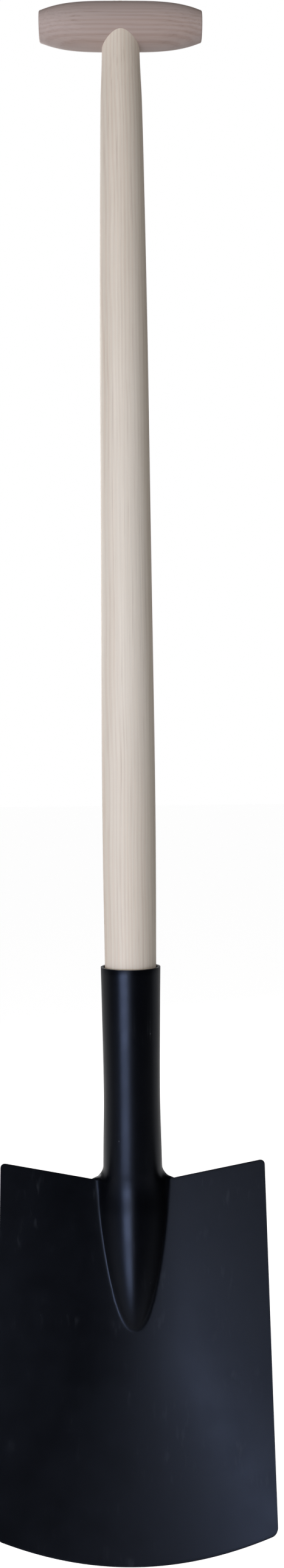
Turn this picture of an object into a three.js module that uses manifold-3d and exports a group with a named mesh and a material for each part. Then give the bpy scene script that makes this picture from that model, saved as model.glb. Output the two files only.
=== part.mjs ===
// Garden spade: a pressed steel blade with a rolled socket, an ash shaft and a wooden T-grip.
// Millimetres. +Z runs up the shaft, and the hollow front of the blade faces -Y.
// The origin is on the shaft's axis at the underside of the grip, where the spade hangs on a rack.

import * as THREE from "three";
import { mergeVertices } from "three/addons/utils/BufferGeometryUtils.js";
import Module from "manifold-3d";

const wasm = await Module();
wasm.setup();

// ---- Driving dimensions ----

const GAP = 0.3; // clearance between mating pieces
const ROUND = 32; // sides of a large round piece
const SMALL_ROUND = 16; // sides of a pin or nail

// Grip: a barrel turned from one piece, lying along X
const GRIP_LENGTH = 123;
const GRIP_RADIUS = 17;
const GRIP_END_RADIUS = 10.5;
const GRIP_CURVE = 3.6; // power of the barrel curve: the higher it is, the longer the middle stays straight
const GRIP_EDGE = 1.2; // rounding of the corner at each flat end

// Shaft: [height, radius] from inside the grip down to the end in the socket
const SHAFT_PROFILE = [
  [17, 14.0],
  [-10, 14.5],
  [-40, 15.7],
  [-130, 17.1],
  [-222, 18.1],
  [-360, 18.9],
  [-545, 20.1],
  [-620, 20.0],
  [-694, 19.4],
  [-794, 18.8],
  [-853, 17.6],
  [-893, 13.5],
];
const SHAFT_STEPS = 20;
const SHAFT_BACK_SLOPE = 25; // degrees from upright of the flat sawn off the back of the lower end
const SHAFT_BACK_START = 12; // where that flat begins behind the axis, level with the blade's root
const TENON_RADIUS = 10;
const TENON_OVERLAP = 12; // how far the tenon's cylinder runs down into the shaft to join it

// Wedge driven into the tenon from above, and the pin that locks the tenon from behind
const WEDGE_TOP_THICKNESS = 3.2;
const WEDGE_BOTTOM_THICKNESS = 1.2;
const WEDGE_WIDTH = 19;
const PIN_RADIUS = 2;
const PIN_DROP = 6; // how far the pin runs below the grip's axis
const PIN_END = -8; // the pin's inner end stops short of the front of the grip
const PIN_RECESS = 1.2; // the pin's outer end lies this far inside the back of the grip

// Socket: [height, outer radius] from the mouth down to the blade
const SOCKET_PROFILE = [
  [-694, 22.6],
  [-727, 22.0],
  [-792, 21.3],
  [-828, 22.0],
  [-870, 22.8],
];
const SOCKET_STEPS = 8;
const SHEET = 2; // thickness of the steel sheet

// Nails through the back of the socket into the shaft
const NAIL_HEIGHTS = [-722, -776];
const NAIL_RADIUS = 1.7;
const NAIL_HEAD_RADIUS = 4.2;
const NAIL_HEAD_HEIGHT = 1.9;
const NAIL_LENGTH = 20;

// Blade: s is the distance down the blade from its root, and the cant leans its tip to the front
const BLADE_WIDTH = 198;
const BLADE_LENGTH = 241.7; // from the root to the lower corners
const BLADE_CANT = 14.2; // degrees
const BLADE_DISH = 10; // how far the side edges stand in front of the middle
const BEND = 36; // half the width of the curved middle near the root, between the flat sides
const BEND_SPREAD_START = 110; // below this s the curve widens, until it fills the width at the cutting edge
const BLADE_CORNER = 4;
const EDGE_BOW = 21.5; // how far the middle of the cutting edge reaches below its corners
const ROOT_HEIGHT = -853;
const ROOT_FORWARD = 3; // the blade's root lies this far in front of the shaft's axis
const ROOT_FILLET = 8;
const TREAD_START = 31; // half the distance between the inner ends of the treads
const TREAD_RISE = 12.8;

// Frog: the pressed swelling that carries the socket's front down into the blade
const FROG_LENGTH = 107;
const FROG_HALF_WIDTH = 27;
const FROG_HEIGHT = 19.8;
const FROG_FALL = 0.12; // loss of height for each millimetre down the blade
const FROG_TAPER = 1.3; // powers of the outline: how early it narrows,
const FROG_NOSE = 0.47; // and how blunt its nose is
const FROG_BROW = [9, 0.7]; // powers of the ridge's drop to the nose
const FROG_CROWN = 1.4; // roundness of the ridge between its two flanks
const FROG_SHOULDER = 12; // the s at which the socket's round has turned into the frog's section
const SHEET_INSET = 0.7; // the sheet's top edge lies this far inside the socket's outer surface

// Closing plate welded over the hollow behind the frog
const PLATE_TOP = 9.4;
const PLATE_END = 118;
const PLATE_LENGTH = 120;
const PLATE_HALF_WIDTH = 34;
const PLATE_TAPER = 1.8; // powers of the plate's outline, as for the frog
const PLATE_NOSE = 0.6;
const PLATE_BULGE_HALF_WIDTH = 23;
const PLATE_BULGE = 27;
const PLATE_SECTION = [2.6, 0.8]; // powers of the bulge's rounded section

// ---- Values worked out from the driving dimensions ----

const OVERSHOOT = 6; // how far a cutting shape runs past the surface it cuts
const CUTTING_BLOCK = 300; // side of a block that is larger than anything it cuts
const HALF_WIDTH = BLADE_WIDTH / 2;
const CANT = THREE.MathUtils.degToRad(BLADE_CANT);
const DOWN_BLADE = new THREE.Vector3(0, -Math.sin(CANT), -Math.cos(CANT));
const OUT_OF_BLADE = new THREE.Vector3(0, -Math.cos(CANT), Math.sin(CANT));
const BLADE_ROOT = new THREE.Vector3(0, -ROOT_FORWARD, ROOT_HEIGHT);

// ---- Solids ----

function flipTriangles(triangles) {
  for (let i = 0; i < triangles.length; i += 3) {
    const second = triangles[i + 1];
    triangles[i + 1] = triangles[i + 2];
    triangles[i + 2] = second;
  }
}

// A three.js geometry as a solid: corners merged, empty triangles dropped, faces outward.
function toSolid(geometry) {
  const bare = geometry.clone();
  bare.deleteAttribute("normal");
  bare.deleteAttribute("uv");
  const merged = mergeVertices(bare, 1e-4);
  const index = merged.getIndex().array;
  const triangles = [];
  for (let i = 0; i < index.length; i += 3) {
    const [a, b, c] = [index[i], index[i + 1], index[i + 2]];
    if (a !== b && b !== c && c !== a) triangles.push(a, b, c);
  }
  const vertProperties = new Float32Array(merged.getAttribute("position").array);
  const build = () => {
    const triVerts = new Uint32Array(triangles);
    return new wasm.Manifold(new wasm.Mesh({ numProp: 3, vertProperties, triVerts }));
  };
  const solid = build();
  if (solid.volume() > 0) return solid;
  flipTriangles(triangles);
  return build();
}

// A finished solid as a named mesh in its material.
function toMesh(name, solid, material) {
  const { vertProperties, triVerts } = solid.getMesh();
  const geometry = new THREE.BufferGeometry();
  geometry.setAttribute("position", new THREE.BufferAttribute(new Float32Array(vertProperties), 3));
  geometry.setIndex(new THREE.BufferAttribute(new Uint32Array(triVerts), 1));
  geometry.computeVertexNormals();
  const mesh = new THREE.Mesh(geometry, material);
  mesh.name = name;
  return mesh;
}

// A solid turned about Z from [height, radius] points.
function turned(points, sides) {
  const outline = points.map(([height, radius]) => new THREE.Vector2(radius, height));
  return toSolid(new THREE.LatheGeometry(outline, sides).rotateX(Math.PI / 2));
}

// A cylinder along Y between two y values.
function cylinderAlongY(radius, from, to, z) {
  const geometry = new THREE.CylinderGeometry(radius, radius, to - from, SMALL_ROUND);
  return toSolid(geometry.translate(0, (from + to) / 2, z));
}

// Evenly spaced [height, radius] points on a smooth line through the given ones.
function smoothProfile(points, steps) {
  const curve = new THREE.SplineCurve(points.map(([height, radius]) => new THREE.Vector2(height, radius)));
  return curve.getPoints(steps).map((point) => [point.x, point.y]);
}

// Evenly spaced values from one number to another, with both ends.
function spread(from, to, count) {
  return Array.from({ length: count + 1 }, (_, i) => THREE.MathUtils.lerp(from, to, i / count));
}

// ---- Grip ----

function gripRadius(x) {
  const share = Math.abs(x) / (GRIP_LENGTH / 2);
  return GRIP_RADIUS - (GRIP_RADIUS - GRIP_END_RADIUS) * share ** GRIP_CURVE;
}

// The turned barrel with no hole, grown by a clearance where a piece is cut to fit it.
function gripBarrel(grow) {
  const end = GRIP_LENGTH / 2;
  const stations = spread(-end + GRIP_EDGE, end - GRIP_EDGE, 16);
  const outline = stations.map((x) => new THREE.Vector2(gripRadius(x) + grow, x));
  const faceRadius = GRIP_END_RADIUS - GRIP_EDGE + grow;
  outline.unshift(new THREE.Vector2(0, -end - grow), new THREE.Vector2(faceRadius, -end - grow));
  outline.push(new THREE.Vector2(faceRadius, end + grow), new THREE.Vector2(0, end + grow));
  const geometry = new THREE.LatheGeometry(outline, ROUND).rotateZ(-Math.PI / 2);
  return toSolid(geometry.translate(0, 0, GRIP_RADIUS));
}

function tenonCylinder(radius, top) {
  const bottom = -TENON_OVERLAP;
  const geometry = new THREE.CylinderGeometry(radius, radius, top - bottom, ROUND).rotateX(Math.PI / 2);
  return toSolid(geometry.translate(0, 0, (top + bottom) / 2));
}

function pinHole() {
  return cylinderAlongY(PIN_RADIUS + GAP, PIN_END - GAP, GRIP_RADIUS + OVERSHOOT, GRIP_RADIUS - PIN_DROP);
}

function gripSolid() {
  const mortise = tenonCylinder(TENON_RADIUS + GAP, 2 * GRIP_RADIUS + OVERSHOOT);
  return gripBarrel(0).subtract(mortise).subtract(pinHole());
}

// ---- Tenon wedge and pin ----

// A thin wedge, thick at the top, from the grip's axis to above its top.
function wedgeBlank(grow, width) {
  const depth = GRIP_RADIUS + OVERSHOOT;
  const geometry = new THREE.BoxGeometry(1, width, depth + grow);
  const position = geometry.getAttribute("position");
  for (let i = 0; i < position.count; i += 1) {
    const thickness = position.getZ(i) > 0 ? WEDGE_TOP_THICKNESS : WEDGE_BOTTOM_THICKNESS;
    position.setX(i, Math.sign(position.getX(i)) * (thickness / 2 + grow));
  }
  return toSolid(geometry.translate(0, 0, GRIP_RADIUS + (depth - grow) / 2));
}

function wedgeSolid() {
  return wedgeBlank(0, WEDGE_WIDTH).intersect(gripBarrel(0));
}

function pinSolid() {
  return cylinderAlongY(PIN_RADIUS, PIN_END, GRIP_RADIUS - PIN_RECESS, GRIP_RADIUS - PIN_DROP);
}

// ---- Shaft ----

function shaftBlank() {
  const profile = smoothProfile(SHAFT_PROFILE, SHAFT_STEPS);
  const top = profile[0][0];
  const bottom = profile[profile.length - 1][0];
  return turned([[top, 0], ...profile, [bottom, 0]], ROUND);
}

// The block that saws the slanting flat off the back of the shaft's lower end.
function backCut() {
  const block = CUTTING_BLOCK;
  const geometry = new THREE.BoxGeometry(block, block, block).translate(0, block / 2, 0);
  geometry.rotateX(-THREE.MathUtils.degToRad(SHAFT_BACK_SLOPE));
  return toSolid(geometry.translate(0, SHAFT_BACK_START, ROOT_HEIGHT));
}

function nailHole(height) {
  const inner = socketRadius(height) - NAIL_LENGTH - GAP;
  return cylinderAlongY(NAIL_RADIUS + GAP, inner, socketRadius(height) + OVERSHOOT, height);
}

function shaftSolid() {
  const tenon = tenonCylinder(TENON_RADIUS, 2 * GRIP_RADIUS + OVERSHOOT);
  const flushTenon = tenon.intersect(gripBarrel(0)).add(tenonCylinder(TENON_RADIUS, GRIP_RADIUS));
  let shaft = shaftBlank().subtract(gripBarrel(GAP)).add(flushTenon);
  shaft = shaft.subtract(wedgeBlank(GAP, 3 * WEDGE_WIDTH)).subtract(pinHole()).subtract(backCut());
  for (const height of NAIL_HEIGHTS) shaft = shaft.subtract(nailHole(height));
  return shaft;
}

// ---- Socket ----

const socketOutline = smoothProfile(SOCKET_PROFILE, SOCKET_STEPS);

function socketRadius(height) {
  const below = socketOutline.findIndex(([z]) => z <= height);
  const [z0, r0] = socketOutline[Math.max(below - 1, 0)];
  const [z1, r1] = socketOutline[below];
  return THREE.MathUtils.mapLinear(height, z0, z1, r0, r1);
}

function socketTube() {
  const inner = socketOutline.map(([height, radius]) => [height, radius - SHEET]).reverse();
  return turned([...socketOutline, ...inner, socketOutline[0]], ROUND).subtract(belowBladeLine(PLATE_TOP - GAP));
}

// Everything below the line across the blade at distance s from its root.
function belowBladeLine(s) {
  const block = CUTTING_BLOCK;
  const geometry = new THREE.BoxGeometry(block, block, block).translate(0, 0, -block / 2);
  geometry.rotateX(-CANT);
  const start = BLADE_ROOT.clone().addScaledVector(DOWN_BLADE, s);
  return toSolid(geometry.translate(start.x, start.y, start.z));
}

// ---- Blade ----

// The frog's section: 1 on its round ridge, and 0 at its foot.
function keel(across) {
  const foot = Math.hypot(1, FROG_CROWN);
  return (foot - Math.hypot(across, FROG_CROWN)) / (foot - FROG_CROWN);
}

// How far the frog stands in front of the blade: an arc like the socket's above the root, a boat's bow below.
function frogHeight(x, s) {
  const arcRadius = socketRadius(ROOT_HEIGHT) - SHEET_INSET;
  const arcForward = Math.sqrt(Math.max(arcRadius ** 2 - x ** 2, 0)) - ROOT_FORWARD - s * Math.sin(CANT);
  const arc = Math.max(arcForward, 0) / Math.cos(CANT);
  const along = THREE.MathUtils.clamp(s / FROG_LENGTH, 0, 1);
  const halfWidth = FROG_HALF_WIDTH * (1 - along ** FROG_TAPER) ** FROG_NOSE;
  const across = halfWidth > 0 ? Math.min(Math.abs(x) / halfWidth, 1) : 1;
  const [early, blunt] = FROG_BROW;
  const ridge = (FROG_HEIGHT - FROG_FALL * Math.max(s, 0)) * (1 - along ** early) ** blunt;
  const bow = ridge * keel(across);
  return THREE.MathUtils.lerp(arc, bow, THREE.MathUtils.smoothstep(s, -ROOT_FILLET, FROG_SHOULDER));
}

// The blade bends round its middle near the root, and across its whole width at the cutting edge.
function dish(x, s) {
  const widening = THREE.MathUtils.smoothstep(s, BEND_SPREAD_START, BLADE_LENGTH + EDGE_BOW);
  const bend = THREE.MathUtils.lerp(BEND, HALF_WIDTH, widening);
  const slope = BLADE_DISH / (HALF_WIDTH - bend / 2);
  const side = Math.abs(x);
  return side < bend ? (slope * side ** 2) / (2 * bend) : slope * (side - bend / 2);
}

// A point of the blade's dished plane, lifted to the front.
function bladePoint(x, s, lift) {
  return new THREE.Vector3(x, 0, 0)
    .add(BLADE_ROOT)
    .addScaledVector(DOWN_BLADE, s)
    .addScaledVector(OUT_OF_BLADE, dish(x, s) + lift);
}

// How much a rounded corner of the outline takes off at x.
function cornerCut(x) {
  const into = Math.max(Math.abs(x) - (HALF_WIDTH - BLADE_CORNER), 0);
  return BLADE_CORNER - Math.sqrt(Math.max(BLADE_CORNER ** 2 - into ** 2, 0));
}

function bladeTop(x) {
  const side = Math.abs(x);
  if (side >= TREAD_START) {
    const share = (side - TREAD_START) / (HALF_WIDTH - TREAD_START);
    return -TREAD_RISE * share + cornerCut(x);
  }
  const intoFillet = Math.min(TREAD_START - side, ROOT_FILLET);
  return -ROOT_FILLET + Math.sqrt(ROOT_FILLET ** 2 - intoFillet ** 2);
}

function bladeBottom(x) {
  const bow = EDGE_BOW * (1 - (x / HALF_WIDTH) ** 2);
  return BLADE_LENGTH + bow - cornerCut(x);
}

// A sheet bent to a surface: columns across it, rows down it, and its thickness behind the surface.
// place(column, row) gives the [x, s] of a grid point, and surface(x, s) the point of the front face.
function sheetSolid(columns, rows, thickness, place, surface) {
  const geometry = new THREE.BoxGeometry(columns, 1, rows, columns, 1, rows);
  const position = geometry.getAttribute("position");
  const step = 0.05;
  for (let i = 0; i < position.count; i += 1) {
    const column = Math.round(position.getX(i) + columns / 2);
    const row = Math.round(rows / 2 - position.getZ(i));
    const [x, s] = place(column, row);
    const point = surface(x, s);
    if (position.getY(i) > 0) {
      const across = surface(x + step, s).sub(surface(x - step, s));
      const down = surface(x, s + step).sub(surface(x, s - step));
      point.addScaledVector(across.cross(down).normalize(), thickness);
    }
    position.setXYZ(i, point.x, point.y, point.z);
  }
  return toSolid(geometry);
}

function bladeSheet() {
  const frogSide = TREAD_START - 1;
  const flatSide = HALF_WIDTH - BLADE_CORNER;
  const half = [
    ...spread(0, frogSide, 11),
    ...spread(frogSide, flatSide, 5).slice(1),
    ...spread(flatSide, HALF_WIDTH, 3).slice(1),
  ];
  const across = [...half.slice(1).map((x) => -x).reverse(), ...half];
  const frogShare = 0.46; // rows are close as far down as the frog's nose, and wide below it
  const shares = [...spread(0, frogShare, 16), ...spread(frogShare, 1, 5).slice(1)];
  const place = (column, row) => {
    const x = across[column];
    return [x, THREE.MathUtils.lerp(bladeTop(x), bladeBottom(x), shares[row])];
  };
  const surface = (x, s) => bladePoint(x, s, frogHeight(x, s));
  return sheetSolid(across.length - 1, shares.length - 1, SHEET, place, surface);
}

function bladeSolid() {
  let blade = bladeSheet().add(socketTube());
  for (const height of NAIL_HEIGHTS) blade = blade.subtract(nailHole(height));
  return blade;
}

// ---- Closing plate ----

function plateBulge(x, s) {
  const along = THREE.MathUtils.clamp(s / FROG_LENGTH, 0, 1);
  const halfWidth = PLATE_BULGE_HALF_WIDTH * (1 - along ** PLATE_TAPER) ** PLATE_NOSE;
  const across = halfWidth > 0 ? Math.min(Math.abs(x) / halfWidth, 1) : 1;
  const [square, round] = PLATE_SECTION;
  return PLATE_BULGE * (1 - along) * (1 - across ** square) ** round;
}

function plateSolid() {
  const columns = 18;
  const rows = 14;
  const place = (column, row) => {
    const s = THREE.MathUtils.lerp(PLATE_TOP, PLATE_END, row / rows);
    const halfWidth = PLATE_HALF_WIDTH * (1 - (s / PLATE_LENGTH) ** PLATE_TAPER) ** PLATE_NOSE;
    return [halfWidth * ((2 * column) / columns - 1), s];
  };
  const surface = (x, s) => bladePoint(x, s, -SHEET - GAP - plateBulge(x, s));
  return sheetSolid(columns, rows, SHEET, place, surface);
}

// ---- Nails ----

function nailSolid(height) {
  const seat = socketRadius(height) + GAP;
  const outline = [
    [0, seat - NAIL_LENGTH],
    [NAIL_RADIUS, seat - NAIL_LENGTH + 4],
    [NAIL_RADIUS, seat],
    [NAIL_HEAD_RADIUS, seat],
    [NAIL_HEAD_RADIUS * 0.8, seat + NAIL_HEAD_HEIGHT * 0.7],
    [0, seat + NAIL_HEAD_HEIGHT],
  ].map(([radius, y]) => new THREE.Vector2(radius, y));
  return toSolid(new THREE.LatheGeometry(outline, SMALL_ROUND).translate(0, 0, height));
}

// ---- Materials ----

const coatedSteel = new THREE.MeshStandardMaterial({ color: 0x1c1f28, roughness: 0.45, metalness: 0.1 });
const bareSteel = new THREE.MeshStandardMaterial({ color: 0x8b8d90, roughness: 0.35, metalness: 0.9 });
const shaftAsh = new THREE.MeshStandardMaterial({ color: 0xd9ccc0, roughness: 0.6, metalness: 0 });
const gripAsh = new THREE.MeshStandardMaterial({ color: 0xa9958f, roughness: 0.6, metalness: 0 });
const wedgeWood = new THREE.MeshStandardMaterial({ color: 0x8a6a4c, roughness: 0.65, metalness: 0 });

// ---- Assembly ----

const spade = new THREE.Group();
spade.add(
  toMesh("blade", bladeSolid(), coatedSteel),
  toMesh("closing_plate", plateSolid(), coatedSteel),
  toMesh("shaft", shaftSolid(), shaftAsh),
  toMesh("t_grip", gripSolid(), gripAsh),
  toMesh("tenon_wedge", wedgeSolid(), wedgeWood),
  toMesh("grip_pin", pinSolid(), wedgeWood),
  toMesh("socket_nail_upper", nailSolid(NAIL_HEIGHTS[0]), bareSteel),
  toMesh("socket_nail_lower", nailSolid(NAIL_HEIGHTS[1]), bareSteel),
);

export default spade;
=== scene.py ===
"""Garden spade: the looks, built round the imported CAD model.

Blender works in metres. The shape functions below work in millimetres, in the CAD model's frame:
+Z up the shaft, the dished front of the blade facing -Y, the origin at the underside of the grip.
"""

import math

import bmesh
import bpy
from mathutils import Matrix, Vector, noise


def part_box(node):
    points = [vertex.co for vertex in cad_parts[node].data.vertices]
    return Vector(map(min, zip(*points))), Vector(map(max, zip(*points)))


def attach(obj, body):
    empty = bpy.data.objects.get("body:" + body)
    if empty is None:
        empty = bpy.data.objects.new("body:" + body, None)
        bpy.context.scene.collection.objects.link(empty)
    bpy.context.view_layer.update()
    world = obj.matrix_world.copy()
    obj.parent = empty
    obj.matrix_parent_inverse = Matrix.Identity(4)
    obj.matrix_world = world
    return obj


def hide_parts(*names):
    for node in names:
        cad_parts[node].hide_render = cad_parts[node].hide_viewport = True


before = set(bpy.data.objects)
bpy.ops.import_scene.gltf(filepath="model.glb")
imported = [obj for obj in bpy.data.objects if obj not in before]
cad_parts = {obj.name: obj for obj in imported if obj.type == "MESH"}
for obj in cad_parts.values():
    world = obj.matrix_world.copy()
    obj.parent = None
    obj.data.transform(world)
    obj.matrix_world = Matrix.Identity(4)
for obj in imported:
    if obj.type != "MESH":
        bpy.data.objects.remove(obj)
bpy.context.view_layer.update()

# ---------------------------------------------------------------- sizes, in millimetres

MM = 0.001


def box_mm(node):
    """A CAD node's lowest and highest corners in millimetres."""
    low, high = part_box(node)
    return low / MM, high / MM


GRIP_LOW, GRIP_HIGH = box_mm("t_grip")
SHAFT_LOW = box_mm("shaft")[0]
BLADE_LOW, BLADE_HIGH = box_mm("blade")
WEDGE_LOW, WEDGE_HIGH = box_mm("tenon_wedge")
PIN_LOW, PIN_HIGH = box_mm("grip_pin")

# Grip
GRIP_AXIS = (GRIP_LOW.z + GRIP_HIGH.z) / 2
GRIP_RADIUS = (GRIP_HIGH.z - GRIP_LOW.z) / 2
GRIP_HALF = GRIP_HIGH.x
GRIP_END_RADIUS = 10.5
GRIP_CURVE = 3.6  # power of the barrel curve: the higher it is, the longer the middle stays straight
GRIP_EDGE = 1.4  # rounding of the corner at each flat end
TENON_RADIUS = 10
TENON_CLEAR = 0.12  # gap between the tenon and its hole
PIN_HOLE_RADIUS = 2.1

# Shaft: [height, radius]
SHAFT_PROFILE = [
    (17, 14.0), (-10, 14.5), (-40, 15.7), (-130, 17.1), (-222, 18.1), (-360, 18.9),
    (-545, 20.1), (-620, 20.0), (-694, 19.4), (-794, 18.8), (-853, 17.6), (-893, 13.5),
]
COPE_LEVEL = -10  # the shoulder is hollowed for the shaft's radius at this height
COPE_CLEAR = 0.08  # gap between the shoulder and the grip
COPE_END = -40  # below this height the shaft's rings are level
SHAFT_BACK_SLOPE = math.tan(math.radians(25))
SHAFT_BACK_START = 12  # where the sawn flat begins behind the axis, level with the blade's root

# Socket: [height, outer radius]
SOCKET_PROFILE = [(-694, 22.6), (-727, 22.0), (-792, 21.3), (-828, 22.0), (-870, 22.8)]
MOUTH = BLADE_HIGH.z
SHEET = 2.0
SEAM = 0.25  # half the width of the seam at the back of the socket
SIDE_ANGLE = math.radians(95)  # how far round the socket the front half goes

# Blade
HALF_WIDTH = 99.0
BLADE_LENGTH = 241.7  # from the root to the lower corners
CANT = math.radians(14.2)
DISH = 10.0  # how far the side edges stand in front of the middle
BEND = 36.0  # half the width of the curved middle near the root, between the flat sides
BEND_SPREAD_START = 110  # below this the curve widens, until it fills the width at the cutting edge
CORNER = 4.0
EDGE_BOW = 21.5  # how far the middle of the cutting edge reaches below its corners
ROOT = -853.0
ROOT_FORWARD = 3.0
ROOT_FILLET = 9.0
ROOT_BLEND = 28.0  # how far below the root the socket has fully become the frog
TREAD_START = 31.0
TREAD_RISE = 12.8

# Frog
FROG_LENGTH = 107.0
FROG_HALF_WIDTH = 27.0
FROG_TAPER = 1.3  # powers of the outline: how early it narrows,
FROG_NOSE = 0.47  # and how blunt its nose is
FROG_HEIGHT = 19.8
FROG_FALL = 0.12  # loss of height for each millimetre down the blade
FROG_BROW = (9, 0.7)  # powers of the ridge's drop to the nose
FROG_CROWN = 1.4  # roundness of the ridge between its two flanks
FROG_FILLET = 0.45
FROG_FOOT_SLOPE = 0.9  # how fast the frog's surface sinks under the blade outside its outline
FROG_FRAME = 16.0  # the frog's columns cover at least this far from the middle

# Closing plate and its weld
PLATE_LENGTH = 115.0
PLATE_HALF_WIDTH = 33.0
PLATE_TAPER = 1.8  # powers of the plate's outline, as for the frog
PLATE_NOSE = 0.6
PLATE_BULGE = 26.0
PLATE_ROUND = 0.9  # power of the bulge's rounded section
PLATE_SHEET = 1.8
PLATE_STAND = 3.6  # how far the plate's rim lies behind the front of the blade
PLATE_SKIRT = 30  # the plate's ridge has left the shape of the socket's back this far down,
RIM_SKIRT = 6  # and its rim this far down
PLATE_GAP = 0.5  # the rim stops this far short of the outline's sharp end
WELD_RADIUS = 1.5
WELD_RIPPLE = 0.13  # depth of the ripples, as a share of the bead's radius
WELD_UNEVENNESS = 0.1  # how much its size wanders, as a share of the radius


# ---------------------------------------------------------------- small maths


def lerp(a, b, t):
    return a + (b - a) * t


def clamp(t):
    """The nearest value from 0 to 1."""
    return max(0.0, min(1.0, t))


def smoothstep(low, high, value):
    t = clamp((value - low) / (high - low))
    return t * t * (3 - 2 * t)


def spread(start, end, count):
    """Both ends and the values that cut the way between them into count equal steps."""
    return [lerp(start, end, i / count) for i in range(count + 1)]


def profile_radius(points, height):
    """Radius at a height on a smooth line through [height, radius] points that run downwards."""
    last = len(points) - 1
    k = next((i for i in range(last) if points[i + 1][0] <= height), last - 1)
    (h1, r1), (h2, r2) = points[k], points[k + 1]
    h0, r0 = points[max(k - 1, 0)]
    h3, r3 = points[min(k + 2, last)]
    slope1 = (r2 - r0) / (h2 - h0)
    slope2 = (r3 - r1) / (h3 - h1)
    t = clamp((height - h1) / (h2 - h1))
    span = h2 - h1
    return (
        (2 * t**3 - 3 * t**2 + 1) * r1
        + (t**3 - 2 * t**2 + t) * span * slope1
        + (3 * t**2 - 2 * t**3) * r2
        + (t**3 - t**2) * span * slope2
    )


# ---------------------------------------------------------------- mesh helpers


class Patch:
    """Points kept by name, so that neighbouring grids share their edges, and the faces between them."""

    def __init__(self):
        self.points = []
        self.index = {}
        self.faces = []

    def add(self, key, point):
        self.index[key] = len(self.points)
        self.points.append(Vector(point) * MM)

    def quad(self, *keys):
        self.faces.append([self.index[k] for k in keys])

    def grid(self, rows, columns, key):
        """Faces between neighbouring rows and columns. key(row, column) names a point."""
        for r0, r1 in zip(rows, rows[1:]):
            for c0, c1 in zip(columns, columns[1:]):
                self.quad(key(r0, c0), key(r1, c0), key(r1, c1), key(r0, c1))


def make_piece(name, points, faces, material):
    """A mesh object with smooth faces."""
    mesh = bpy.data.meshes.new(name)
    mesh.from_pydata([tuple(p) for p in points], [], faces)
    mesh.validate()
    piece = bpy.data.objects.new(name, mesh)
    bpy.context.scene.collection.objects.link(piece)
    mesh.materials.append(material)
    mesh.polygons.foreach_set("use_smooth", [True] * len(mesh.polygons))
    return piece


def face_outward(piece):
    """Turns the faces of a closed mesh outward."""
    bm = bmesh.new()
    bm.from_mesh(piece.data)
    bmesh.ops.recalc_face_normals(bm, faces=bm.faces)
    bm.to_mesh(piece.data)
    bm.free()


def add_modifier(piece, kind, **settings):
    modifier = piece.modifiers.new(kind.title(), kind)
    for name, value in settings.items():
        setattr(modifier, name, value)
    return modifier


def apply_modifiers(piece):
    """Replaces the mesh by what its modifiers make of it."""
    graph = bpy.context.evaluated_depsgraph_get()
    mesh = bpy.data.meshes.new_from_object(piece.evaluated_get(graph))
    piece.modifiers.clear()
    piece.data = mesh
    mesh.polygons.foreach_set("use_smooth", [True] * len(mesh.polygons))


def sharpen(piece, degrees):
    """Keeps edges sharper than an angle crisp in the shading."""
    piece.data.set_sharp_from_angle(angle=math.radians(degrees))


def revolve(name, stations, sides, place, material):
    """A closed turned piece from (along, radius) stations.

    place(along, across, up) puts a point in the frame.
    """
    points, faces = [], []
    for along, radius in stations:
        for k in range(sides):
            angle = 2 * math.pi * k / sides
            point = place(along, radius * math.cos(angle), radius * math.sin(angle))
            points.append(Vector(point) * MM)
    for i in range(len(stations) - 1):
        ring, following = i * sides, (i + 1) * sides
        for near in range(sides):
            far = (near + 1) % sides
            faces.append([ring + near, ring + far, following + far, following + near])
    faces.append(list(range(sides)))
    faces.append([(len(stations) - 1) * sides + k for k in range(sides)])
    piece = make_piece(name, points, faces, material)
    face_outward(piece)
    return piece


def finish_piece(piece, slot, *nodes):
    """A piece that stands for its CAD nodes: it hides them and hangs the piece under the root body."""
    if nodes:
        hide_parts(*nodes)
    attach(piece, "root")


# ---------------------------------------------------------------- materials


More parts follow.
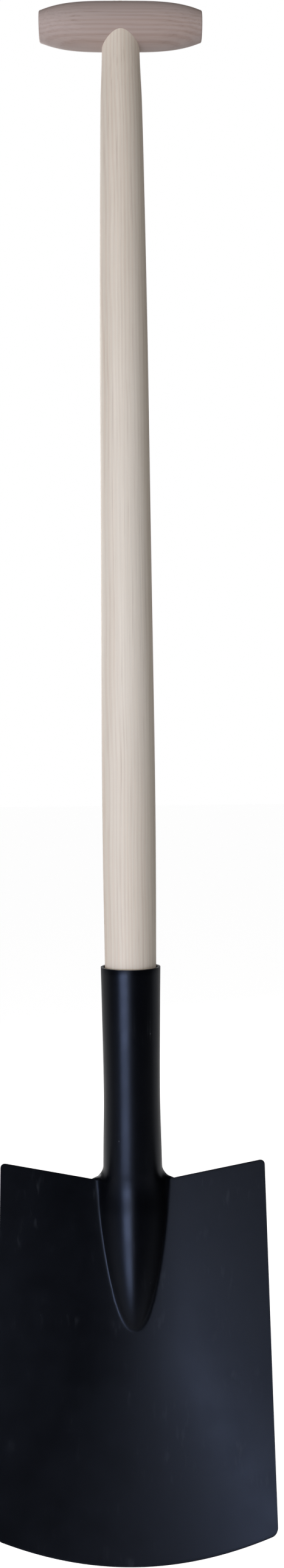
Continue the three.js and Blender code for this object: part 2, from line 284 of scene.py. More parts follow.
class Nodes:
    """Short names for building a material's node tree."""

    def __init__(self, name):
        self.material = bpy.data.materials.new(name)
        self.material.use_nodes = True
        self.tree = self.material.node_tree
        self.shader = self.tree.nodes["Principled BSDF"]
        self.place = self.tree.nodes.new("ShaderNodeTexCoord").outputs["Object"]

    def link(self, source, target):
        self.tree.links.new(source, target)

    def new(self, kind, inputs, **settings):
        node = self.tree.nodes.new(kind)
        for name, value in settings.items():
            setattr(node, name, value)
        for name, value in inputs.items():
            if isinstance(value, bpy.types.NodeSocket):
                self.link(value, node.inputs[name])
            else:
                node.inputs[name].default_value = value
        return node

    def scaled(self, scale, shift=(0, 0, 0)):
        inputs = {"Vector": self.place, "Scale": scale, "Location": shift}
        return self.new("ShaderNodeMapping", inputs).outputs["Vector"]

    def noise(self, vector, scale, detail, roughness=0.5):
        inputs = {"Vector": vector, "Scale": scale, "Detail": detail, "Roughness": roughness}
        return self.new("ShaderNodeTexNoise", inputs).outputs["Fac"]

    def ramp(self, value, *stops):
        """A colour ramp. Each stop is (position, colour) or (position, grey)."""
        node = self.new("ShaderNodeValToRGB", {"Fac": value})
        elements = node.color_ramp.elements
        while len(elements) < len(stops):
            elements.new(0.5)
        for element, (position, colour) in zip(elements, stops):
            element.position = position
            grey = isinstance(colour, (int, float))
            element.color = (colour, colour, colour, 1) if grey else (*colour, 1)
        return node.outputs["Color"]

    def mix(self, blend, factor, a, b):
        node = self.tree.nodes.new("ShaderNodeMix")
        node.data_type = "RGBA"
        node.blend_type = blend
        sockets = [s for s in node.inputs if s.enabled]
        for socket, value in zip(sockets, (factor, a, b)):
            if isinstance(value, bpy.types.NodeSocket):
                self.link(value, socket)
            elif socket.type == "RGBA":
                socket.default_value = (*value, 1)
            else:
                socket.default_value = value
        return next(s for s in node.outputs if s.enabled)

    def maths(self, operation, a, b):
        node = self.tree.nodes.new("ShaderNodeMath")
        node.operation = operation
        for socket, value in zip(node.inputs, (a, b)):
            if isinstance(value, bpy.types.NodeSocket):
                self.link(value, socket)
            else:
                socket.default_value = value
        return node.outputs["Value"]

    def bump(self, height, distance, strength, under=None):
        inputs = {"Height": height, "Distance": distance, "Strength": strength}
        if under is not None:
            inputs["Normal"] = under
        return self.new("ShaderNodeBump", inputs).outputs["Normal"]


def powder_coat():
    """Satin black coating with a blue tint, a faint orange peel, and a few pale scuffs."""
    n = Nodes("powder_coat")
    mottle = n.noise(n.place, 18, detail=4)
    base = n.ramp(mottle, (0.3, (0.0006, 0.0007, 0.0012)), (0.7, (0.0010, 0.0011, 0.0018)))
    streaks = n.noise(n.scaled((260, 260, 14)), 1.0, detail=3)
    speck = n.new("ShaderNodeTexVoronoi", {"Vector": n.place, "Scale": 95.0}).outputs["Distance"]
    where = n.noise(n.place, 30, detail=2)
    sparse = n.maths("MULTIPLY", n.ramp(speck, (0.035, 1), (0.06, 0)), n.ramp(where, (0.62, 0), (0.68, 1)))
    smudge = n.maths("MULTIPLY", n.ramp(streaks, (0.58, 0), (0.8, 0.25)), n.ramp(where, (0.5, 0), (0.7, 1)))
    wear = n.maths("MAXIMUM", sparse, smudge)
    n.link(n.mix("MIX", wear, base, (0.06, 0.065, 0.075)), n.shader.inputs["Base Color"])
    rough = n.ramp(n.noise(n.place, 60, detail=5), (0.3, 0.29), (0.7, 0.35))
    n.link(n.mix("MIX", wear, rough, (0.6, 0.6, 0.6)), n.shader.inputs["Roughness"])
    peel = n.noise(n.place, 900, detail=2)
    n.link(n.bump(peel, 0.00004, 0.6), n.shader.inputs["Normal"])
    n.shader.inputs["Specular IOR Level"].default_value = 0.3
    n.shader.inputs["Specular Tint"].default_value = (0.64, 0.74, 1.0, 1)
    return n.material


def ash(name, along, pale, tan, line, pith):
    """Sanded ash. along is the axis of the grain, and pith where the rings' centre runs, in metres."""
    n = Nodes(name)

    def drawn_out(lengthwise, crosswise, shift=(0, 0, 0)):
        return n.scaled([lengthwise if axis == along else crosswise for axis in "XYZ"], shift=shift)

    drawn = drawn_out(0.035, 1.0, shift=pith)
    warp = n.noise(drawn_out(0.4, 1.0), 22, detail=2)
    push = n.new("ShaderNodeVectorMath", {0: drawn, 1: n.ramp(warp, (0, 0), (1, 0.004))}, operation="ADD")
    waves = {
        "Vector": push.outputs["Vector"],
        "Scale": 118.0,
        "Distortion": 2.6,
        "Detail": 2.0,
        "Detail Scale": 2.0,
    }
    style = {"wave_type": "RINGS", "rings_direction": along, "wave_profile": "SIN"}
    rings = n.new("ShaderNodeTexWave", waves, **style).outputs["Fac"]
    fibres = n.noise(drawn_out(6.0, 1150.0), 1.0, detail=4, roughness=0.6)
    pores = n.noise(drawn_out(13.2, 1840.0), 1.0, detail=2)
    broad = n.noise(drawn_out(2.4, 34.0), 1.0, detail=3)
    wood = n.mix("MIX", n.ramp(broad, (0.35, 0), (0.68, 1)), pale, tan)
    ring_dark = n.ramp(rings, (0.25, 0.0), (0.9, 1.0))
    ring_tint = n.maths("MULTIPLY", ring_dark, n.ramp(broad, (0.38, 0.06), (0.64, 0.45)))
    wood = n.mix("MIX", ring_tint, wood, line)
    pore_dark = n.maths("MULTIPLY", n.ramp(pores, (0.56, 0), (0.68, 1)), n.maths("ADD", ring_dark, 0.15))
    pore_colour = [c * 0.72 for c in line]
    wood = n.mix("MIX", n.maths("MULTIPLY", pore_dark, 0.35), wood, pore_colour)
    wood = n.mix("MULTIPLY", 1.0, wood, n.ramp(fibres, (0.3, 0.9), (0.7, 1.0)))
    n.link(wood, n.shader.inputs["Base Color"])
    n.link(n.ramp(fibres, (0.3, 0.62), (0.7, 0.5)), n.shader.inputs["Roughness"])
    grain = n.bump(fibres, 0.00012, 0.35)
    n.link(n.bump(ring_dark, 0.00006, 0.3, under=grain), n.shader.inputs["Normal"])
    n.shader.inputs["Specular IOR Level"].default_value = 0.35
    return n.material


def hardwood():
    """Darker close-grained wood of the wedge and the pin."""
    n = Nodes("wedge_beech")
    flecks = n.noise(n.scaled((900, 120, 60)), 1.0, detail=3)
    wood = n.ramp(flecks, (0.3, (0.2, 0.105, 0.05)), (0.7, (0.34, 0.2, 0.105)))
    n.link(wood, n.shader.inputs["Base Color"])
    n.link(n.ramp(flecks, (0.3, 0.7), (0.7, 0.5)), n.shader.inputs["Roughness"])
    n.link(n.bump(flecks, 0.0001, 0.4), n.shader.inputs["Normal"])
    return n.material


def nail_steel():
    """Dull drawn steel with fine scratches."""
    n = Nodes("nail_steel")
    scratch = n.noise(n.scaled((400, 400, 2200)), 1.0, detail=4)
    steel = n.ramp(scratch, (0.3, (0.3, 0.3, 0.31)), (0.7, (0.48, 0.48, 0.49)))
    n.link(steel, n.shader.inputs["Base Color"])
    n.link(n.ramp(scratch, (0.3, 0.5), (0.7, 0.32)), n.shader.inputs["Roughness"])
    n.link(n.bump(scratch, 0.00003, 0.5), n.shader.inputs["Normal"])
    n.shader.inputs["Metallic"].default_value = 1.0
    return n.material


COAT = powder_coat()
SHAFT_ASH = ash(
    "shaft_ash",
    "Z",
    pale=(0.83, 0.755, 0.665),
    tan=(0.77, 0.68, 0.58),
    line=(0.70, 0.565, 0.465),
    pith=(0.2, 0.03, 0),
)
GRIP_ASH = ash(
    "grip_ash",
    "X",
    pale=(0.51, 0.42, 0.395),
    tan=(0.45, 0.345, 0.305),
    line=(0.36, 0.25, 0.205),
    pith=(0, 0.015, 0.13),
)
WEDGE_WOOD = hardwood()
NAIL_STEEL = nail_steel()


# ---------------------------------------------------------------- grip, wedge and pin


def grip_radius(x):
    """Radius of the barrel at a distance from its middle."""
    share = clamp(abs(x) / GRIP_HALF)
    return GRIP_RADIUS - (GRIP_RADIUS - GRIP_END_RADIUS) * share**GRIP_CURVE


def grip_under(x, y):
    """Height of the grip's underside above a point."""
    return GRIP_AXIS - math.sqrt(max(grip_radius(x) ** 2 - y**2, 0))


def grip_over(x, y):
    """Height of the top of the grip above a point."""
    return GRIP_AXIS + math.sqrt(max(grip_radius(x) ** 2 - y**2, 0))


def cut_with(piece, cutter):
    """Cuts another object's shape out of a piece, and deletes the cutter."""
    add_modifier(piece, "BOOLEAN", object=cutter, operation="DIFFERENCE", solver="EXACT")
    apply_modifiers(piece)
    bpy.data.objects.remove(cutter)


def tenon_cutter():
    """The tenon's hole, which runs past the grip at both ends."""
    radius, past = TENON_RADIUS + TENON_CLEAR, 5
    stations = [(GRIP_LOW.z - past, radius), (GRIP_HIGH.z + past, radius)]

    def place(along, across, up):
        return (across, up, along)

    return revolve("tenon_cutter", stations, 64, place, GRIP_ASH)


def pin_cutter():
    """The pin's hole, which runs past the back of the grip."""
    middle, past = (PIN_LOW.z + PIN_HIGH.z) / 2, 2
    stations = [(PIN_LOW.y, PIN_HOLE_RADIUS), (GRIP_HIGH.y + past, PIN_HOLE_RADIUS)]

    def place(along, across, up):
        return (across, along, middle + up)

    return revolve("pin_cutter", stations, 32, place, GRIP_ASH)


def build_grip():
    """A turned barrel with rounded corners at its flat ends."""
    corner = spread(0, math.pi / 2, 5)
    end_x = GRIP_HALF - GRIP_EDGE
    shoulder = grip_radius(end_x)
    right = [
        (end_x + GRIP_EDGE * math.sin(a), shoulder - GRIP_EDGE * (1 - math.cos(a)))
        for a in corner
    ]
    right.append((GRIP_HALF, shoulder * 0.5))
    left = [(-x, radius) for x, radius in reversed(right)]
    middle = [(x, grip_radius(x)) for x in spread(-end_x, end_x, 64)[1:-1]]

    def place(along, across, up):
        return (along, across, GRIP_AXIS + up)

    grip = revolve("grip_barrel", left + middle + right, 96, place, GRIP_ASH)
    cut_with(grip, tenon_cutter())
    cut_with(grip, pin_cutter())
    sharpen(grip, 35)
    finish_piece(grip, "grip_ash", "t_grip")


def build_wedge():
    """The wedge, its top trimmed flush with the round of the grip."""
    patch = Patch()
    rows = spread(WEDGE_LOW.y, WEDGE_HIGH.y, 16)
    top, bottom = WEDGE_HIGH.x, 0.6  # half the thickness at each end
    proud = 0.12
    for i, y in enumerate(rows):
        for side in (-1, 1):
            patch.add((i, side, "top"), (side * top, y, grip_over(0, y) + proud))
            patch.add((i, side, "low"), (side * bottom, y, WEDGE_LOW.z))
    for i in range(len(rows) - 1):
        j = i + 1
        patch.quad((i, -1, "top"), (i, 1, "top"), (j, 1, "top"), (j, -1, "top"))
        patch.quad((i, -1, "low"), (j, -1, "low"), (j, 1, "low"), (i, 1, "low"))
        for side in (-1, 1):
            patch.quad((i, side, "low"), (j, side, "low"), (j, side, "top"), (i, side, "top"))
    for i in (0, len(rows) - 1):
        patch.quad((i, -1, "low"), (i, 1, "low"), (i, 1, "top"), (i, -1, "top"))
    wedge = make_piece("wedge", patch.points, patch.faces, WEDGE_WOOD)
    face_outward(wedge)
    add_modifier(wedge, "BEVEL", width=0.15 * MM, segments=2, limit_method="ANGLE")
    apply_modifiers(wedge)
    sharpen(wedge, 35)
    finish_piece(wedge, "wedge_wood", "tenon_wedge")


def build_pin():
    """A dowel with a slightly domed end, just proud of the back of the grip."""
    radius = (PIN_HIGH.x - PIN_LOW.x) / 2
    middle = (PIN_LOW.z + PIN_HIGH.z) / 2
    surface = math.sqrt(GRIP_RADIUS**2 - (GRIP_AXIS - middle) ** 2)
    proud = 0.35
    straight_end = surface - 0.4
    dome = [(surface + proud * math.cos(a), radius * math.sin(a)) for a in spread(math.pi / 2, 0.1, 6)]

    def place(along, across, up):
        return (across, along, middle + up)

    stations = [(PIN_LOW.y, radius), (straight_end, radius), *dome]
    pin = revolve("pin", stations, 32, place, WEDGE_WOOD)
    sharpen(pin, 50)
    finish_piece(pin, "wedge_wood", "grip_pin")


# ---------------------------------------------------------------- shaft


def shaft_body():
    """The tapered stick, its top hollowed to fit the grip and its lower end sawn to a slope."""
    patch = Patch()
    sides = 72
    ring = 0
    cope = profile_radius(SHAFT_PROFILE, COPE_LEVEL)
    for t in spread(0, 1, 14)[:-1]:
        for k in range(sides):
            angle = 2 * math.pi * k / sides
            top = grip_under(cope * math.sin(angle), cope * math.cos(angle)) - COPE_CLEAR
            height = lerp(top, COPE_END, t)
            radius = profile_radius(SHAFT_PROFILE, min(height, 0))
            patch.add((ring, k), (radius * math.sin(angle), -radius * math.cos(angle), height))
        ring += 1
    for height in spread(COPE_END, SHAFT_LOW.z, 110):
        radius = profile_radius(SHAFT_PROFILE, height)
        flat = SHAFT_BACK_START + (height - ROOT) * SHAFT_BACK_SLOPE
        for k in range(sides):
            angle = 2 * math.pi * k / sides
            y = -radius * math.cos(angle)
            patch.add((ring, k), (radius * math.sin(angle), min(y, flat), height))
        ring += 1
    patch.grid(list(range(ring)), [*range(sides), 0], lambda r, c: (r, c))
    patch.quad(*[(ring - 1, k) for k in range(sides)])
    return patch, sides


def close_cope(patch, sides):
    """The hollowed shoulder: rings that follow the underside of the grip in to the middle."""
    previous = [(0, k) for k in range(sides)]
    base = profile_radius(SHAFT_PROFILE, COPE_LEVEL)
    for step, share in enumerate((0.85, 0.7, 0.5, 0.25)):
        keys = []
        for k in range(sides):
            angle = 2 * math.pi * k / sides
            x, y = share * base * math.sin(angle), -share * base * math.cos(angle)
            patch.add(("cope", step, k), (x, y, grip_under(x, y) - COPE_CLEAR))
            keys.append(("cope", step, k))
        for k in range(sides):
            j = (k + 1) % sides
            patch.quad(previous[k], previous[j], keys[j], keys[k])
        previous = keys
    patch.quad(*previous)


def add_tenon(patch):
    """The round tenon, flush with the top of the grip, as far down as the shoulder."""
    sides = 48
    proud = 0.06
    chamfer = 0.3
    rings = [
        (TENON_RADIUS, "low"),
        (TENON_RADIUS, "edge"),
        (TENON_RADIUS - chamfer, "top"),
        (TENON_RADIUS * 0.6, "top"),
        (TENON_RADIUS * 0.25, "top"),
    ]
    for step, (radius, part) in enumerate(rings):
        for k in range(sides):
            angle = 2 * math.pi * k / sides
            x, y = radius * math.cos(angle), radius * math.sin(angle)
            top = grip_over(x, y) + proud
            height = {"low": GRIP_LOW.z + 1, "edge": top - chamfer, "top": top}[part]
            patch.add(("tenon", step, k), (x, y, height))
    patch.grid(list(range(len(rings))), [*range(sides), 0], lambda r, c: ("tenon", r, c))
    patch.quad(*[("tenon", 0, k) for k in range(sides)])
    patch.quad(*[("tenon", len(rings) - 1, k) for k in range(sides)])


def build_shaft():
    patch, sides = shaft_body()
    close_cope(patch, sides)
    add_tenon(patch)
    shaft = make_piece("ash_shaft", patch.points, patch.faces, SHAFT_ASH)
    face_outward(shaft)
    sharpen(shaft, 40)
    finish_piece(shaft, "shaft_ash", "shaft")


# ---------------------------------------------------------------- blade and socket

FROG_COLUMNS = 15  # from the middle of the frog to its foot
FLANGE_COLUMNS = 4  # from the foot to where the flat of the blade begins
FRONT = FROG_COLUMNS + FLANGE_COLUMNS
PANEL_COLUMNS = 12  # across the flat of the blade, up to its rounded corners
CORNER_COLUMNS = 6
BACK_COLUMNS = 12  # round the back half of the socket


def frog_half_width(s):
    """Half the width of the frog's outline, s down from the root."""
    along = clamp(s / FROG_LENGTH)
    return FROG_HALF_WIDTH * (1 - along**FROG_TAPER) ** FROG_NOSE


def keel(across):
    """The frog's section: 1 on its round ridge, and 0 at its foot."""
    foot = math.hypot(1, FROG_CROWN)
    return (foot - math.hypot(across, FROG_CROWN)) / (foot - FROG_CROWN)


def frog_lift(x, s):
    """How far the front stands off the plane of the blade, with a soft fillet round the frog's foot."""
    along = clamp(s / FROG_LENGTH)
    half_width = frog_half_width(s)
    outside = math.hypot(max(abs(x) - half_width, 0), max(s - FROG_LENGTH, 0))
    if outside > 0:
        height = -FROG_FOOT_SLOPE * outside
    else:
        early, blunt = FROG_BROW
        ridge = (FROG_HEIGHT - FROG_FALL * max(s, 0)) * (1 - along**early) ** blunt
        height = ridge * keel(abs(x) / max(half_width, 0.01))
    return (height + math.hypot(height, FROG_FILLET)) / 2


def dish(x, s):
    """The blade bends round its middle near the root, and across its whole width at the edge."""
    bend = lerp(BEND, HALF_WIDTH, smoothstep(BEND_SPREAD_START, BLADE_LENGTH + EDGE_BOW, s))
    slope = DISH / (HALF_WIDTH - bend / 2)
    if abs(x) < bend:
        return slope * x**2 / (2 * bend)
    return slope * (abs(x) - bend / 2)


def blade_point(x, s, lift):
    """A point of the blade's dished plane, s down from the root and lifted to the front."""
    out = dish(x, s) + lift
    y = -ROOT_FORWARD - s * math.sin(CANT) - out * math.cos(CANT)
    return Vector((x, y, ROOT - s * math.cos(CANT) + out * math.sin(CANT)))


def socket_point(angle, height):
    """A point of the socket's outside. Angle 0 is the front, and half a turn the back."""
    radius = profile_radius(SOCKET_PROFILE, height)
    return Vector((radius * math.sin(angle), -radius * math.cos(angle), height))


def corner_cut(x):
    """How far a rounded corner takes the blade's edge back."""
    into = max(abs(x) - (HALF_WIDTH - CORNER), 0)
    return CORNER - math.sqrt(max(CORNER**2 - into**2, 0))


def blade_top(x):
    """The s of the tread above a point: the treads rise outward from the root."""
    share = max(abs(x) - TREAD_START, 0) / (HALF_WIDTH - TREAD_START)
    return -TREAD_RISE * share + corner_cut(x)


def blade_bottom(x):
    """The s of the bowed cutting edge below a point."""
    return BLADE_LENGTH + EDGE_BOW * (1 - (x / HALF_WIDTH) ** 2) - corner_cut(x)


def frog_frame(s):
    """Half the width that the frog's columns cover: the frog itself, and no less than FROG_FRAME."""
    return max(frog_half_width(s), FROG_FRAME)


def front_point(column, s):
    """A point on the front half of the socket, on the frog, or between them, s below the root."""
    side = 1 if column >= 0 else -1
    k = abs(column)
    spread_x = frog_frame(s)
    if k <= FROG_COLUMNS:
        x = spread_x * math.sin(math.pi / 2 * k / FROG_COLUMNS)
    else:
        x = spread_x + (TREAD_START - FROG_HALF_WIDTH) * (k - FROG_COLUMNS) / FLANGE_COLUMNS
    on_blade = blade_point(x, s, frog_lift(x, s))
    if s > ROOT_BLEND:
        return Vector((side * on_blade.x, on_blade.y, on_blade.z))
    on_socket = socket_point(SIDE_ANGLE * k / FRONT, ROOT - s)
    body = smoothstep(-ROOT_FILLET, ROOT_BLEND, s)
    into_fillet = clamp((s + ROOT_FILLET) / ROOT_FILLET)
    edge = 1 - math.sqrt(1 - into_fillet**2)
    weight = lerp(body, edge, clamp(k / FROG_COLUMNS) ** 4)
    point = on_socket.lerp(on_blade, weight)
    return Vector((side * point.x, point.y, point.z))


def back_point(step, side, s):
    """A point on the back half of the socket, which flares a little into the treads at the root."""
    share = step / BACK_COLUMNS
    height = ROOT - s
    radius = profile_radius(SOCKET_PROFILE, height)
    seam_angle = math.pi - SEAM / radius
    angle = lerp(SIDE_ANGLE, seam_angle, share)
    point = socket_point(angle, height)
    flare = front_point(FRONT, s) - socket_point(SIDE_ANGLE, height)
    point += flare * (1 - share) ** 3
    return Vector((side * point.x, point.y, point.z))


def panel_x(step, s):
    """Distance from the middle of a column on the flat of the blade or in its rounded corner."""
    start = frog_frame(s) + TREAD_START - FROG_HALF_WIDTH
    flat_end = HALF_WIDTH - CORNER
    if step <= PANEL_COLUMNS:
        return lerp(start, flat_end, step / PANEL_COLUMNS)
    return flat_end + CORNER * math.sin(math.pi / 2 * (step - PANEL_COLUMNS) / CORNER_COLUMNS)


def blade_rows():
    """Shares of the way down the blade: close at the root and the frog's nose, wide on the flat."""
    length = BLADE_LENGTH + EDGE_BOW
    stretches = [(24, 16), (88, 20), (112, 20), (length - 6, 16), (length, 4)]
    values = [0.0]
    for end, count in stretches:
        values += spread(values[-1], end, count)[1:]
    return [v / length for v in values]


def add_socket(patch):
    """The rows from the mouth down to the root. Returns the number of the root's row."""
    above_fillet = ROOT_FILLET + 3
    heights = spread(MOUTH - ROOT, above_fillet, 30) + spread(above_fillet, 0, 16)[1:]
    for i, above in enumerate(heights):
        for column in range(-FRONT, FRONT + 1):
            patch.add(("up", i, column), front_point(column, -above))
        for side in (-1, 1):
            for step in range(1, BACK_COLUMNS + 1):
                patch.add(("up", i, side * (FRONT + step)), back_point(step, side, -above))
    around = list(range(-FRONT - BACK_COLUMNS, FRONT + BACK_COLUMNS + 1))
    patch.grid(list(range(len(heights))), around, lambda r, c: ("up", r, c))
    return len(heights) - 1


def add_blade(patch, root_row):
    """The rows from the root down to the cutting edge. The first shares the socket's last points."""
    shares = blade_rows()
    length = BLADE_LENGTH + EDGE_BOW
    for i, share in enumerate(shares):
        nominal = share * length
        for column in range(-FRONT, FRONT + 1):
            if i == 0:
                patch.index[("down", 0, column)] = patch.index[("up", root_row, column)]
                continue
            x = abs(front_point(column, nominal).x)
            patch.add(("down", i, column), front_point(column, share * blade_bottom(x)))
        for side in (-1, 1):
            for step in range(1, PANEL_COLUMNS + CORNER_COLUMNS + 1):
                x = panel_x(step, nominal)
                s = lerp(blade_top(x), blade_bottom(x), share)
                patch.add(("down", i, side * (FRONT + step)), blade_point(side * x, s, 0))
    edge = FRONT + PANEL_COLUMNS + CORNER_COLUMNS
    patch.grid(list(range(len(shares))), list(range(-edge, edge + 1)), lambda r, c: ("down", r, c))


def build_blade():
    """Socket, frog and blade as one sheet, thickened inward, with softened edges."""
    patch = Patch()
    root_row = add_socket(patch)
    add_blade(patch, root_row)
    blade = make_piece("blade_pressing", patch.points, patch.faces, COAT)
    add_modifier(blade, "SOLIDIFY", thickness=SHEET * MM, offset=-1.0, use_even_offset=False)
    apply_modifiers(blade)
    face_outward(blade)
    sharp = math.radians(60)
    add_modifier(blade, "BEVEL", width=0.45 * MM, segments=3, limit_method="ANGLE", angle_limit=sharp)
    apply_modifiers(blade)
    sharpen(blade, 60)
    finish_piece(blade, "coated_steel", "blade")


# ---------------------------------------------------------------- closing plate and welds


def plate_half_width(s):
    """Half the width of the closing plate's outline, s down from the root."""
    return PLATE_HALF_WIDTH * (1 - clamp(s / PLATE_LENGTH) ** PLATE_TAPER) ** PLATE_NOSE


def plate_point(column, s):
    """A point of the closing plate's outside. Column 0 is the ridge, and the last columns its rim."""
    side = 1 if column >= 0 else -1
    share = abs(column) / BACK_COLUMNS
    angle = math.pi / 2 * share
    x = plate_half_width(s) * math.sin(angle)
    height = PLATE_BULGE * (1 - clamp(s / PLATE_LENGTH)) * math.cos(angle) ** PLATE_ROUND
    point = blade_point(x, s, -PLATE_STAND - height)
    if s < PLATE_SKIRT:
        skirt = back_point(BACK_COLUMNS - abs(column), 1, 0)
        down = s + PLATE_STAND * share * math.tan(CANT)
        skirt += Vector((0, PLATE_STAND * share - down * math.sin(CANT), -down * math.cos(CANT)))
        point = skirt.lerp(point, smoothstep(0, lerp(PLATE_SKIRT, RIM_SKIRT, share), s))
    return Vector((side * point.x, point.y, point.z))


def build_plate():
    """The pressed plate that closes the hollow behind the frog."""
    patch = Patch()
    nose = 100  # from here down the rows lie closer together
    rows = spread(0.4, nose, 40) + spread(nose, PLATE_LENGTH - PLATE_GAP, 10)[1:]
    columns = list(range(-BACK_COLUMNS, BACK_COLUMNS + 1))
    for i, s in enumerate(rows):
        for column in columns:
            patch.add((i, column), plate_point(column, s))
    patch.grid(list(range(len(rows))), list(reversed(columns)), lambda r, c: (r, c))
    plate = make_piece("closing_plate_pressing", patch.points, patch.faces, COAT)
    add_modifier(plate, "SOLIDIFY", thickness=PLATE_SHEET * MM, offset=-1.0)
    apply_modifiers(plate)
    face_outward(plate)
    sharpen(plate, 50)
    finish_piece(plate, "coated_steel", "closing_plate")


def bead(name, path, radius):
    """A rippled weld bead along a path of points in millimetres, thinner at both ends."""
    patch = Patch()
    sides = 12
    for i, point in enumerate(path):
        before, after = path[max(i - 1, 0)], path[min(i + 1, len(path) - 1)]
        along = (after - before).normalized()
        across = along.cross(Vector((0.3, 1, 0.2))).normalized()
        up = across.cross(along)
        from_end = min(i, len(path) - 1 - i)
        thinning = min(1, 0.25 + from_end * 0.35)
        ripple = 1 + WELD_RIPPLE * math.sin(i * 1.9) + WELD_UNEVENNESS * noise.noise(point * 0.4)
        size = radius * ripple * thinning
        for k in range(sides):
            angle = 2 * math.pi * k / sides
            patch.add((i, k), point + (across * math.cos(angle) + up * math.sin(angle)) * size)
    patch.grid(list(range(len(path))), [*range(sides), 0], lambda r, c: (r, c))
    patch.quad(*[(0, k) for k in range(sides)])
    patch.quad(*[(len(path) - 1, k) for k in range(sides)])
    weld = make_piece(name, patch.points, patch.faces, COAT)
    face_outward(weld)
    finish_piece(weld, "coated_steel")


def build_welds():
    """A bead round the plate's rim, and one between its top and the socket."""
    end = PLATE_LENGTH - PLATE_GAP
    rim = [plate_point(-BACK_COLUMNS, s) for s in spread(RIM_SKIRT, end, 110)]
    rim += [plate_point(BACK_COLUMNS, s) for s in spread(end, RIM_SKIRT, 110)]
    bead("plate_weld", rim, WELD_RADIUS)
    share = 4  # points for each column of the plate
    reach = share * BACK_COLUMNS - 10
    top = [plate_point(column / share, 0.2) for column in range(-reach, reach + 1)]
    bead("socket_weld", top, WELD_RADIUS)


def build_nails():
    """Round-headed nails through the back of the socket. Each head reaches as far back as its CAD node."""
    shank, point = 1.7, 0.4
    for node in ("socket_nail_upper", "socket_nail_lower"):
        low, high = box_mm(node)
        middle = (low.z + high.z) / 2
        radius = high.x
        seat = profile_radius(SOCKET_PROFILE, middle)
        under = seat - 0.2
        dome = [
            (seat + (high.y - seat) * math.sin(a), radius * math.cos(a) ** 0.8)
            for a in spread(0, 1.45, 10)
        ]
        stations = [(low.y, point), (low.y + 4, shank), (under, shank), (under, radius * 0.96), *dome]

        def place(along, across, up, middle=middle):
            return (across, along, middle + up)

        nail = revolve(node + "_head", stations, 40, place, NAIL_STEEL)
        sharpen(nail, 50)
        finish_piece(nail, "nail_steel", node)


# ---------------------------------------------------------------- stage


def link_range(tree, source, target, spans, smooth=False):
    """Links source to target, its values moved from the first span to the second."""
    node = tree.nodes.new("ShaderNodeMapRange")
    if smooth:
        node.interpolation_type = "SMOOTHSTEP"
    tree.links.new(source, node.inputs["Value"])
    (near, far), (low, high) = spans
    for name, value in (("From Min", near), ("From Max", far), ("To Min", low), ("To Max", high)):
        node.inputs[name].default_value = value
    tree.links.new(node.outputs["Result"], target)


def make_camera():
    """The photograph's view as estimated: level, near mid-height, one metre in front of the shaft."""
    width, height = 467, 2576
    focal = 2172.4
    pan, tilt, roll = math.radians(1.0), math.radians(0.08), math.radians(-0.62)
    forward = Vector((math.sin(pan) * math.cos(tilt), math.cos(pan) * math.cos(tilt), math.sin(tilt)))
    level = Vector((math.cos(pan), -math.sin(pan), 0))
    upright = level.cross(forward)
    right = level * math.cos(roll) + upright * math.sin(roll)
    up = upright * math.cos(roll) - level * math.sin(roll)
    data = bpy.data.cameras.new("camera")
    data.sensor_width = 36
    data.lens = data.sensor_width * focal / max(width, height)
    camera = bpy.data.objects.new("camera", data)
    bpy.context.scene.collection.objects.link(camera)
    turn = Matrix((right, up, -forward)).transposed()
    below_grip = 574.6
    eye = Vector((-7.3, -1000, GRIP_AXIS - below_grip)) * MM
    camera.matrix_world = Matrix.Translation(eye) @ turn.to_4x4()
    bpy.context.scene.camera = camera


def make_floor():
    """White to the camera. In the coat's reflections it is dim, and dark in front of the spade."""
    material = bpy.data.materials.new("pale_floor")
    material.use_nodes = True
    tree = material.node_tree
    shader = tree.nodes["Principled BSDF"]
    shader.inputs["Roughness"].default_value = 0.8
    shader.inputs["Emission Color"].default_value = (1, 1, 1, 1)
    place = tree.nodes.new("ShaderNodeTexCoord")
    split = tree.nodes.new("ShaderNodeSeparateXYZ")
    tree.links.new(place.outputs["Object"], split.inputs["Vector"])
    rays = tree.nodes.new("ShaderNodeLightPath")
    glow = tree.nodes.new("ShaderNodeMix")
    glow.inputs["B"].default_value = 0.92
    tree.links.new(rays.outputs["Is Camera Ray"], glow.inputs["Factor"])
    tree.links.new(glow.outputs["Result"], shader.inputs["Emission Strength"])
    behind = split.outputs["Y"]
    link_range(tree, behind, shader.inputs["Base Color"], ((-0.9, -0.4), (0.3, 0.85)))
    link_range(tree, behind, glow.inputs["A"], ((0.0, 0.4), (0.0, 0.3)))
    half = 40
    drop = (BLADE_LOW.z - 60) * MM
    points = [(-half, -half, drop), (half, -half, drop), (half, half, drop), (-half, half, drop)]
    floor = make_piece("floor", points, [[0, 1, 2, 3]], material)


def area_light(name, azimuth, distance, height, aim, size, power, colour):
    """A soft box turned to a height on the shaft, all in metres.

    Azimuth 0 is in front, and a negative one to the left.
    """
    data = bpy.data.lights.new(name, "AREA")
    data.shape = "RECTANGLE"
    data.size, data.size_y = size
    data.energy = power
    data.color = colour
    light = bpy.data.objects.new(name, data)
    bpy.context.scene.collection.objects.link(light)
    turn = math.radians(azimuth)
    light.location = (distance * math.sin(turn), -distance * math.cos(turn), height)
    towards = Vector((0, 0, aim)) - light.location
    light.rotation_euler = towards.to_track_quat("-Z", "Y").to_euler()
    return light


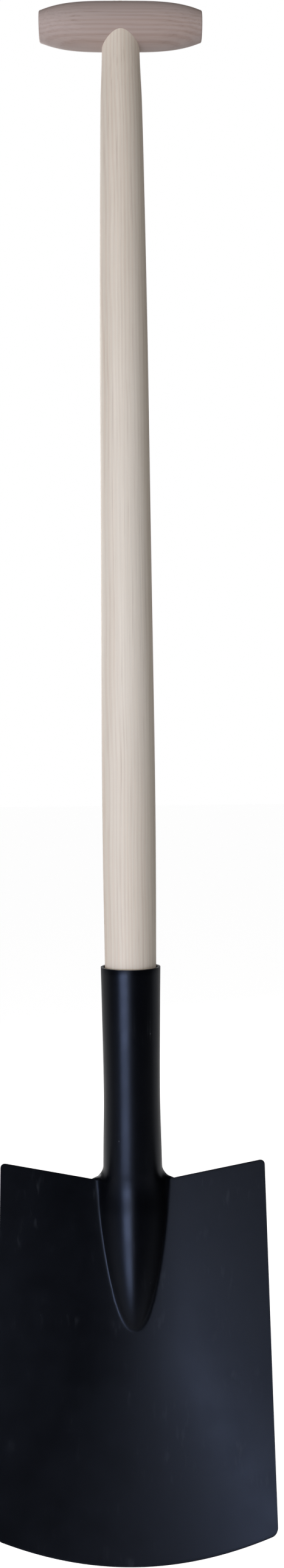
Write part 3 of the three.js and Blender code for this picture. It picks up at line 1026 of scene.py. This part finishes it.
def make_world():
    """A white studio behind the spade and a dark one in front, seen as white wherever the camera looks."""
    world = bpy.data.worlds.new("studio")
    world.use_nodes = True
    tree = world.node_tree
    shade = tree.nodes["Background"]
    place = tree.nodes.new("ShaderNodeTexCoord")
    split = tree.nodes.new("ShaderNodeSeparateXYZ")
    tree.links.new(place.outputs["Generated"], split.inputs["Vector"])
    strength = shade.inputs["Strength"]
    link_range(tree, split.outputs["Y"], strength, ((0.45, 1.0), (0.02, 0.4)), smooth=True)
    white = tree.nodes.new("ShaderNodeBackground")
    white.inputs["Strength"].default_value = 1.0
    white.inputs["Color"].default_value = (1, 1, 1, 1)
    shade.inputs["Color"].default_value = (1, 1, 1, 1)
    rays = tree.nodes.new("ShaderNodeLightPath")
    mix = tree.nodes.new("ShaderNodeMixShader")
    tree.links.new(rays.outputs["Is Camera Ray"], mix.inputs["Fac"])
    tree.links.new(shade.outputs["Background"], mix.inputs[1])
    tree.links.new(white.outputs["Background"], mix.inputs[2])
    tree.links.new(mix.outputs["Shader"], tree.nodes["World Output"].inputs["Surface"])
    bpy.context.scene.world = world
    bpy.context.scene.view_settings.view_transform = "Standard"


# Colours of the lights
PLAIN = (1.0, 0.98, 0.94)
BLUE = (0.68, 0.77, 1.0)
WARM = (1.0, 0.97, 0.93)

make_camera()
make_world()
make_floor()
LIGHTS = (
    # name, azimuth, distance, height, aim, size, power, colour
    ("key", -28, 1.7, -1.22, -0.8, (0.94, 0.75), 24, BLUE),
    ("wall", -58, 1.7, -1.42, -0.8, (1.0, 0.6), 4, BLUE),
    ("panel", -17, 1.8, -0.72, -0.95, (1.0, 0.9), 3.9, PLAIN),
    ("back", -150, 1.8, 0.1, -0.6, (1.2, 1.2), 15, WARM),
)
FILLS = (
    ("fill_left", -42, 1.6, -0.12, -0.6, (1.2, 1.0), 12.5, WARM),
    ("fill_right", 38, 1.6, -0.1, -0.6, (1.2, 1.0), 6.0, WARM),
)
for light in LIGHTS:
    area_light(*light)
for light in FILLS:
    area_light(*light).visible_glossy = False  # it lights the wood, and doesn't show in the coat

build_grip()
build_wedge()
build_pin()
build_shaft()
build_blade()
build_plate()
build_welds()
build_nails()
